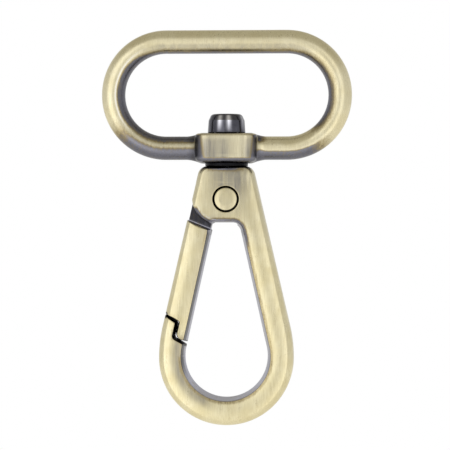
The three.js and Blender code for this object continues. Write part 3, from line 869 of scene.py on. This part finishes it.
def paint_casting(obj):
    """Brushed on the faces and outside; grey in the eye and under the head; dark in the split and the
    pin's counterbore. Painted light: shade in the slot and on the head's top, a dark reflection along
    the eye's rim, and highlight lines along the cheeks and the tab."""
    place, normal = vertex_arrays(obj)
    x, y, z = place.T
    _, ny, nz = normal.T
    facing = np.abs(ny)
    depth = HALF_DEPTH - np.abs(y)
    outside, inside = edge_distances(x, z)

    wall = ramp(1.15 - inside, 0, 0.25) * (1 - ramp(facing, 0.75, 0.93))
    wall *= ramp(outside, 0.6, 1.4)
    under_head = ramp(z, HEAD_BOTTOM - 6, HEAD_BOTTOM - 2)
    lip = (0.5 + 0.42 * under_head) * ramp(1.5 - inside, 0, 0.6)
    lip *= np.where((x < 0) & (z > EYE_CENTRE) & (z < HEAD_BOTTOM - 0.5), 0.35, 1.0)
    side_at_head = (-outer_side(HEAD_BOTTOM), HEAD_BOTTOM)
    side_at_pin = (-outer_side(PIN_Z), PIN_Z)
    cheek_side = corner_arc((0, HEAD_BOTTOM), side_at_head, side_at_pin, CHEEK_CORNER)
    from_cheek = distance_to([Vector((0, HEAD_BOTTOM))] + cheek_side, x, z)
    on_cheek = (outside > 0.15) & (np.abs(y) > TAB_THICKNESS / 2 + TAB_SIDE_GAP)
    on_cheek = on_cheek * ramp(HEAD_BOTTOM + 3.6 - z, 0, 0.8)
    cheek_rim = ramp(0.75 - from_cheek, 0, 0.3) * on_cheek * (z > HEAD_BOTTOM - 2.5)
    # Painted highlight: a pale line along the cheeks' rounded lower edge above the gate.
    cheek_highlight_line = np.exp(-((from_cheek - 0.78) / 0.12)**2) * on_cheek * (z > HEAD_BOTTOM - 1)
    top = ramp(1.35 - (HEAD_TOP - z), 0, 0.8) * ramp(3.8 - np.abs(x), 0, 1.0)
    # Painted shade: the upward-facing top of the head, under the washer and boss, is darkened.
    corner = ramp(nz, 0.62, 0.9) * (z > HEAD_TOP - 1.4)

    slot = (np.abs(y) < TAB_THICKNESS / 2 + TAB_SIDE_GAP + 0.1) & (outside > 0.3) & (x < 3.4)
    slot &= z > HEAD_BOTTOM - 3.2
    slot &= (facing > 0.5) | (z > HEAD_BOTTOM + 0.1) | (inside > 0.2)
    foot = shoulder_foot()
    above = ((z - foot.y) + (x - foot.x) * math.tan(SHOULDER_TILT)) * math.cos(SHOULDER_TILT)
    tab_side = (np.abs(y) < TAB_THICKNESS / 2 + 0.1) & (x < -2)
    slot |= tab_side & (above > 0.05) & (z < SLOT_TOP - 0.2)
    unbrushed = np.maximum.reduce([wall, lip, top, slot * 1.0, cheek_rim])
    from_pin = np.hypot(x, z - PIN_Z)
    counterbore = (from_pin < PIN_HEAD_RADIUS + PIN_HEAD_GAP + 0.02) & (depth > 0.1)
    head = z > PIN_Z - 8

    lip_rise = NOSE_RISE + LIP_HEIGHT
    channel = LIP_THICKNESS + LIP_SIDE_GAP / 2
    half_gap = LIP_TOP_GAP / 2
    split = [
        on_arm(lip_rise + slant_fall(LIP_THICKNESS) + half_gap, 0),
        on_arm(lip_rise + half_gap, channel),
        on_arm(NOSE_RISE + half_gap, channel),
        on_arm(NOSE_RISE - slant_fall(4) + half_gap, channel + 4),
    ]
    from_split = distance_to(split, x, z)
    in_split = ramp(0.62 - from_split, 0, 0.14) * ramp(0.72 - facing, 0, 0.2)
    in_split *= ramp(outside, 0.02, 0.12)
    beside_split = ramp(1.0 - from_split, 0, 0.5) * ramp(facing, 0.72, 0.9)

    # Painted highlights: pale lines along the tab's foot at the gate's shoulder and along its edge by
    # the eye.
    tab_edge_highlight = slot * np.maximum(
        np.exp(-((above - SHOULDER_GAP) / 0.13)**2), np.exp(-((inside - 0.25) / 0.12)**2)
    )
    # Painted dark reflection: a near-black line along the eye wall's front edge, strongest on the left
    # and in the lower part of the ring.
    rim = wall * ramp(2.3 - depth, 0, 0.9) * (1 - ramp(z, HEAD_BOTTOM - 2, HEAD_BOTTOM - 1))
    rim *= ramp(z, EYE_CENTRE - 5, EYE_CENTRE - 1) * np.where(x < 0, 1.0, 0.3)
    # Painted shade: the slot and the tab inside it, already unbrushed plate, are darkened further as
    # shade in the recess.
    dark = np.maximum.reduce([
        in_split, counterbore * 1.0, slot * (0.62 * head) * (1 - tab_edge_highlight), rim * 0.85, corner * 0.85,
    ])
    grey = np.where(z > HEAD_BOTTOM - 2.0, 0.35, 0.85) * np.maximum(wall, top)
    grey = np.maximum.reduce([grey * (1 - slot), 0.8 * tab_edge_highlight, 0.9 * cheek_highlight_line])
    cloud = np.exp(-((x - 0.9) / 2.7)**2 - ((z - HEAD_TOP + 2.6) / 3.8)**2)
    smoky = 1.3 * cloud * ramp(facing, 0.8, 0.97)
    smoky += 0.75 * ramp(2.9 - inside, 0, 1.5) * ramp(EYE_CENTRE + 5 - z, 0, 3) * ramp(-1.5 - x, 0, 3)
    smoky += 0.4 * ramp(2.4 - inside, 0, 1.6) * ramp(z, HOOK_CENTRE + 4, HOOK_CENTRE + 16) * (x < 0)
    smoky += 0.22 * ramp(z, HEAD_BOTTOM - 8, HEAD_BOTTOM + 2)
    brushed = (1 - unbrushed) * (1 - 0.2 * beside_split)
    paint_finish(obj, brushed, dark, grey, np.clip(smoky, 0, 1))


def paint_plain(obj):
    level = np.ones(len(obj.data.vertices))
    paint_finish(obj, level, 0 * level, 0 * level, 0.3 * level)


def paint_post(obj):
    """Bands down the polished button that stand for the lamps' reflections in it."""
    place, _ = vertex_arrays(obj)
    x, y, z = place.T
    around = np.degrees(np.arctan2(x, -y))
    bright = 0 * x
    for middle, width, level in BRIGHT_BANDS:
        off = (around - middle + 180) % 360 - 180
        bright = np.maximum(bright, level * np.exp(-(off / width)**2))
    side = ramp(z, BOSS_TOP + 0.3, BOSS_TOP + 0.7) * ramp(POST_HIGH.z - z, 0.1, 0.5)
    paint(obj, "bright", bright * side)


# ---- Materials --------------------------------------------------------------------------------

def linear(hex_colour):
    """An sRGB hex colour as linear RGBA."""
    parts = [int(hex_colour[i:i + 2], 16) / 255 for i in (1, 3, 5)]
    return (*(c / 12.92 if c <= 0.04045 else ((c + 0.055) / 1.055) ** 2.4 for c in parts), 1.0)


def add_node(tree, kind, inputs=None, **settings):
    """Adds a node. An input is a value, an output socket to link from, or a node, which links its
    first output in use."""
    node = tree.nodes.new(kind)
    for key, value in settings.items():
        setattr(node, key, value)
    for key, value in (inputs or {}).items():
        if isinstance(value, bpy.types.Node):
            value = next(o for o in value.outputs if o.enabled)
        if isinstance(value, bpy.types.NodeSocket):
            tree.links.new(value, node.inputs[key])
        else:
            node.inputs[key].default_value = value
    return node


def new_material(name):
    """A material with an empty node tree, and the function that adds nodes to that tree."""
    material = bpy.data.materials.new(name)
    material.use_nodes = True
    material.node_tree.nodes.clear()
    return material, functools.partial(add_node, material.node_tree)


def antique_brass(name):
    """Zinc die casting plated in brass, blackened, then brushed back on what stands proud: pale
    brushed brass with fine strokes, running through brown to smooth dark grey in the recesses."""
    material, add = new_material(name)
    coords = add("ShaderNodeTexCoord").outputs["Object"]

    # The belt's strokes run along Z: fine lines, wider strokes and broad uneven passes.
    along = add("ShaderNodeMapping", {
        "Vector": coords, "Location": (0.0137, 0.0291, 0.0173), "Scale": (1, 1, 0.06),
    })
    fine = add("ShaderNodeTexNoise", {
        "Vector": along, "Scale": METRE / 0.16, "Detail": 2, "Roughness": 0.6,
    })
    strokes = add("ShaderNodeTexNoise", {
        "Vector": along, "Scale": METRE / 0.45, "Detail": 3, "Roughness": 0.65,
    })
    broad = add("ShaderNodeTexNoise", {"Vector": along, "Scale": METRE / 1.3, "Detail": 2})
    blotches = add("ShaderNodeTexNoise", {"Vector": coords, "Scale": METRE / 3, "Detail": 3})
    specks = add("ShaderNodeTexNoise", {"Vector": coords, "Scale": METRE / 0.28, "Detail": 2})

    brushed = add("ShaderNodeAttribute", attribute_name="brushed").outputs["Fac"]
    dark = add("ShaderNodeAttribute", attribute_name="dark").outputs["Fac"]
    grey = add("ShaderNodeAttribute", attribute_name="grey").outputs["Fac"]
    smoky = add("ShaderNodeAttribute", attribute_name="smoky").outputs["Fac"]

    # The brushing's edge is ragged, and runs from plate through brown to brass.
    ragged = brushed
    for pattern, spread in ((strokes, 0.12), (specks, 0.08), (blotches, 0.08)):
        shift = add("ShaderNodeMapRange", {
            "Value": pattern, "From Min": 0.3, "From Max": 0.7, "To Min": -spread, "To Max": spread,
        })
        ragged = add("ShaderNodeMath", {0: ragged, 1: shift}, operation="ADD")
    to_brown = add("ShaderNodeMapRange", {"Value": ragged, "From Min": 0.02, "From Max": 0.45})
    to_brass = add("ShaderNodeMapRange", {"Value": ragged, "From Min": 0.35, "From Max": 0.92})

    # Brass: slightly uneven in tone, darker along the fine lines.
    tone = add("ShaderNodeMapRange", {"Value": blotches, "From Min": 0.35, "From Max": 0.65})
    pale = add("ShaderNodeMix", {0: tone, 6: linear("#e5dcb9"), 7: linear("#dbd0a8")}, data_type="RGBA")
    lines = add("ShaderNodeMapRange", {
        "Value": fine, "From Min": 0.35, "From Max": 0.7, "To Max": 0.45,
    })
    brass = add("ShaderNodeMix", {0: lines, 6: pale, 7: linear("#bdb18b")}, data_type="RGBA")
    # Pale grey where the plate was never brushed, and along the painted highlight lines.
    brass = add("ShaderNodeMix", {0: grey, 6: brass, 7: linear("#e4e1da")}, data_type="RGBA")

    # A smoky grey film over the brass: streaky where the strokes left it on the head, elsewhere just
    # darker where the smoky attribute is set.
    patches = add("ShaderNodeMapRange", {
        "Value": broad, "From Min": 0.34, "From Max": 0.58, "To Min": 0.62, "To Max": 1.0,
    })
    streaks = add("ShaderNodeMapRange", {
        "Value": strokes, "From Min": 0.3, "From Max": 0.62, "To Min": 0.6, "To Max": 1.0,
    })
    film = add("ShaderNodeMath", {0: smoky, 1: patches}, operation="MULTIPLY")
    film = add("ShaderNodeMath", {0: film, 1: streaks}, operation="MULTIPLY")
    brass = add("ShaderNodeMix", {0: film, 6: brass, 7: linear("#7d7a78")}, data_type="RGBA")

    # The blackened plate, paler where it was left thin, and paler still along the painted highlight
    # lines.
    cloudy = add("ShaderNodeMapRange", {"Value": specks, "From Min": 0.3, "From Max": 0.7})
    gunmetal = add("ShaderNodeMix", {
        0: cloudy, 6: linear("#63636c"), 7: linear("#515159"),
    }, data_type="RGBA")
    plate = add("ShaderNodeMix", {0: grey, 6: gunmetal, 7: linear("#b6b6c4")}, data_type="RGBA")
    brown = add("ShaderNodeMix", {0: to_brown, 6: plate, 7: linear("#948560")}, data_type="RGBA")
    colour = add("ShaderNodeMix", {0: to_brass, 6: brown, 7: brass}, data_type="RGBA")
    # Near-black from the dark attribute: the blackened plate in hollows, the split and counterbore,
    # painted shade in creases, in the slot and on the head's top, and a painted dark reflection along
    # the eye's rim.
    colour = add("ShaderNodeMix", {0: dark, 6: colour, 7: linear("#111012")}, data_type="RGBA")

    roughness = add("ShaderNodeMapRange", {
        "Value": strokes, "From Min": 0.3, "From Max": 0.7, "To Min": 0.26, "To Max": 0.36,
    })
    bump = add("ShaderNodeBump", {"Height": strokes, "Strength": 0.25, "Distance": 0.00002})
    shader = add("ShaderNodeBsdfPrincipled", {
        "Base Color": colour, "Metallic": 1.0, "Roughness": roughness, "Normal": bump,
    })
    add("ShaderNodeOutputMaterial", {"Surface": shader})
    return material


def black_nickel(name):
    """Turned post plated in polished black nickel: dark, mirror-like, faint turning marks. The pale
    bands down its side are painted reflections of the lamps.
    """
    material, add = new_material(name)
    coords = add("ShaderNodeTexCoord").outputs["Object"]
    rings = add("ShaderNodeMapping", {"Vector": coords, "Scale": (0.1, 0.1, 1.0)})
    marks = add("ShaderNodeTexNoise", {"Vector": rings, "Scale": METRE / 0.15, "Detail": 2})
    clouds = add("ShaderNodeTexNoise", {"Vector": coords, "Scale": METRE / 1.2, "Detail": 2})
    bright = add("ShaderNodeAttribute", attribute_name="bright").outputs["Fac"]
    tone = add("ShaderNodeMapRange", {"Value": clouds, "From Min": 0.3, "From Max": 0.7})
    dark = add("ShaderNodeMix", {0: tone, 6: linear("#595961"), 7: linear("#47474f")}, data_type="RGBA")
    # Painted reflection: the bright attribute turns bands of the post near-white where the lamps would
    # show in it.
    colour = add("ShaderNodeMix", {0: bright, 6: dark, 7: linear("#e8e8f0")}, data_type="RGBA")
    roughness = add("ShaderNodeMapRange", {
        "Value": marks, "From Min": 0.3, "From Max": 0.7, "To Min": 0.12, "To Max": 0.2,
    })
    shader = add("ShaderNodeBsdfPrincipled", {
        "Base Color": colour, "Metallic": 1.0, "Roughness": roughness,
    })
    add("ShaderNodeOutputMaterial", {"Surface": shader})
    return material


def black_oxide(name):
    """Stamped washer in black oxide: nearly black, satin."""
    material, add = new_material(name)
    coords = add("ShaderNodeTexCoord").outputs["Object"]
    grain = add("ShaderNodeTexNoise", {"Vector": coords, "Scale": METRE / 0.2, "Detail": 2})
    tone = add("ShaderNodeMapRange", {"Value": grain, "From Min": 0.3, "From Max": 0.7})
    colour = add("ShaderNodeMix", {
        0: tone, 6: linear("#161618"), 7: linear("#232326"),
    }, data_type="RGBA")
    roughness = add("ShaderNodeMapRange", {
        "Value": grain, "From Min": 0.3, "From Max": 0.7, "To Min": 0.3, "To Max": 0.45,
    })
    shader = add("ShaderNodeBsdfPrincipled", {
        "Base Color": colour, "Metallic": 1.0, "Roughness": roughness,
    })
    add("ShaderNodeOutputMaterial", {"Surface": shader})
    return material


def spring_wire(name):
    """Drawn music wire: bright grey and slightly mottled."""
    material, add = new_material(name)
    coords = add("ShaderNodeTexCoord").outputs["Object"]
    grain = add("ShaderNodeTexNoise", {"Vector": coords, "Scale": METRE / 0.1, "Detail": 2})
    tone = add("ShaderNodeMapRange", {"Value": grain, "From Min": 0.3, "From Max": 0.7})
    colour = add("ShaderNodeMix", {
        0: tone, 6: linear("#8e9094"), 7: linear("#74767a"),
    }, data_type="RGBA")
    roughness = add("ShaderNodeMapRange", {
        "Value": grain, "From Min": 0.3, "From Max": 0.7, "To Min": 0.22, "To Max": 0.34,
    })
    shader = add("ShaderNodeBsdfPrincipled", {
        "Base Color": colour, "Metallic": 1.0, "Roughness": roughness,
    })
    add("ShaderNodeOutputMaterial", {"Surface": shader})
    return material


# ---- Pieces on their bodies -------------------------------------------------------------------

def finish_piece(obj, name, body, node, material, painter=None):
    """Paints a piece, scales it to metres and puts it on its body in place of its CAD node."""
    if painter:
        painter(obj)
    obj.name = name
    obj.data.name = name
    obj.data.transform(Matrix.Scale(1 / METRE, 4))
    obj.data.shade_smooth()
    obj.data.materials.clear()
    obj.data.materials.append(material)
    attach(obj, body)
    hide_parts(node)
    return obj


CAST = antique_brass("antique_brass_casting")
finish_piece(strap_loop(), "strap_loop_cast", "loop", "strap_loop", CAST, paint_loop)
finish_piece(hook_body(), "hook_body_cast", "hook", "hook_body", CAST, paint_casting)
finish_piece(gate(), "gate_cast", "gate", "gate", CAST, paint_casting)
finish_piece(gate_pin(), "gate_pin_rivet", "hook", "gate_pin", CAST, paint_plain)
finish_piece(
    swivel_post(), "swivel_post_button", "hook", "swivel_post",
    black_nickel("black_nickel_plate"), paint_post,
)
finish_piece(
    swivel_washer(), "swivel_washer_ring", "hook", "swivel_washer",
    black_oxide("black_oxide_steel"),
)
finish_piece(
    gate_spring(), "gate_spring_coil", "hook", "gate_spring",
    spring_wire("drawn_spring_wire"),
)


# ---- Stage, light and camera ------------------------------------------------------------------

FLOOR_LEVEL = CAD_BOX[0][2] - 0.5
FLOOR_HALF_WIDTH = 4
LAMP_AIM = Vector((0, 0, -0.035))
CAMERA_AIM = Vector((-0.0003, 0, -0.0320))
CAMERA_DISTANCE = 0.40
FRAME_WIDTH = 0.0841
SENSOR_WIDTH = 36


def towards(azimuth, elevation):
    """A direction in degrees: azimuth 0 is in front, positive to the right."""
    azimuth, elevation = math.radians(azimuth), math.radians(elevation)
    level = math.cos(elevation)
    return Vector((math.sin(azimuth) * level, -math.cos(azimuth) * level, math.sin(elevation)))


def pale_floor():
    """A light table under the object: pale, and lit softly from inside."""
    bm = bmesh.new()
    bmesh.ops.create_grid(bm, x_segments=1, y_segments=1, size=FLOOR_HALF_WIDTH)
    bmesh.ops.translate(bm, verts=bm.verts, vec=(0, 0, FLOOR_LEVEL))
    floor = new_object("pale_floor", bm)
    material, add = new_material("pale_acrylic")
    shader = add("ShaderNodeBsdfPrincipled", {
        "Base Color": linear("#f0f0f0"), "Roughness": 0.7,
        "Emission Color": (1, 1, 1, 1), "Emission Strength": 0.45,
    })
    add("ShaderNodeOutputMaterial", {"Surface": shader})
    floor.data.materials.append(material)


def softbox(name, azimuth, elevation, distance, size, radiance):
    """A rectangular softbox aimed at the object."""
    away = towards(azimuth, elevation)
    light = bpy.data.lights.new(name, "AREA")
    light.shape = "RECTANGLE"
    light.size, light.size_y = size
    light.energy = radiance * math.pi * size[0] * size[1]
    lamp = bpy.data.objects.new(name, light)
    lamp.location = LAMP_AIM + away * distance
    lamp.rotation_euler = (-away).to_track_quat("-Z", "Y").to_euler()
    lamp.visible_camera = False
    bpy.context.scene.collection.objects.link(lamp)


def studio_room():
    """White to the camera. The metal sees pale walls under a dimmer, warmer ceiling."""
    world = bpy.data.worlds.new("studio_room")
    bpy.context.scene.world = world
    world.use_nodes = True
    world.node_tree.nodes.clear()
    add = functools.partial(add_node, world.node_tree)
    direction = add("ShaderNodeTexCoord").outputs["Generated"]
    height = add("ShaderNodeSeparateXYZ", {"Vector": direction}).outputs["Z"]
    rise = add("ShaderNodeMapRange", {"Value": height, "From Min": 0.25, "From Max": 0.72})
    walls = add("ShaderNodeMix", {
        0: rise, 6: (0.81, 0.81, 0.80, 1), 7: (0.51, 0.49, 0.42, 1),
    }, data_type="RGBA")
    seen = add("ShaderNodeLightPath").outputs["Is Camera Ray"]
    colour = add("ShaderNodeMix", {0: seen, 6: walls, 7: (1, 1, 1, 1)}, data_type="RGBA")
    background = add("ShaderNodeBackground", {"Color": colour, "Strength": 1.0})
    add("ShaderNodeOutputWorld", {"Surface": background})


def camera():
    data = bpy.data.cameras.new("camera")
    data.sensor_width = SENSOR_WIDTH
    data.lens = SENSOR_WIDTH * CAMERA_DISTANCE / FRAME_WIDTH
    data.clip_start = 0.01
    eye = bpy.data.objects.new("camera", data)
    away = towards(azimuth=3.5, elevation=0.5)
    eye.location = CAMERA_AIM + away * CAMERA_DISTANCE
    eye.rotation_euler = (-away).to_track_quat("-Z", "Y").to_euler()
    bpy.context.scene.collection.objects.link(eye)
    bpy.context.scene.camera = eye


pale_floor()
studio_room()
softbox("left_softbox", -34, 0, 0.8, (0.66, 0.95), 0.70)
softbox("right_softbox", 24, 0, 0.8, (0.36, 0.95), 0.55)
camera()

bpy.context.scene.view_settings.view_transform = "Standard"
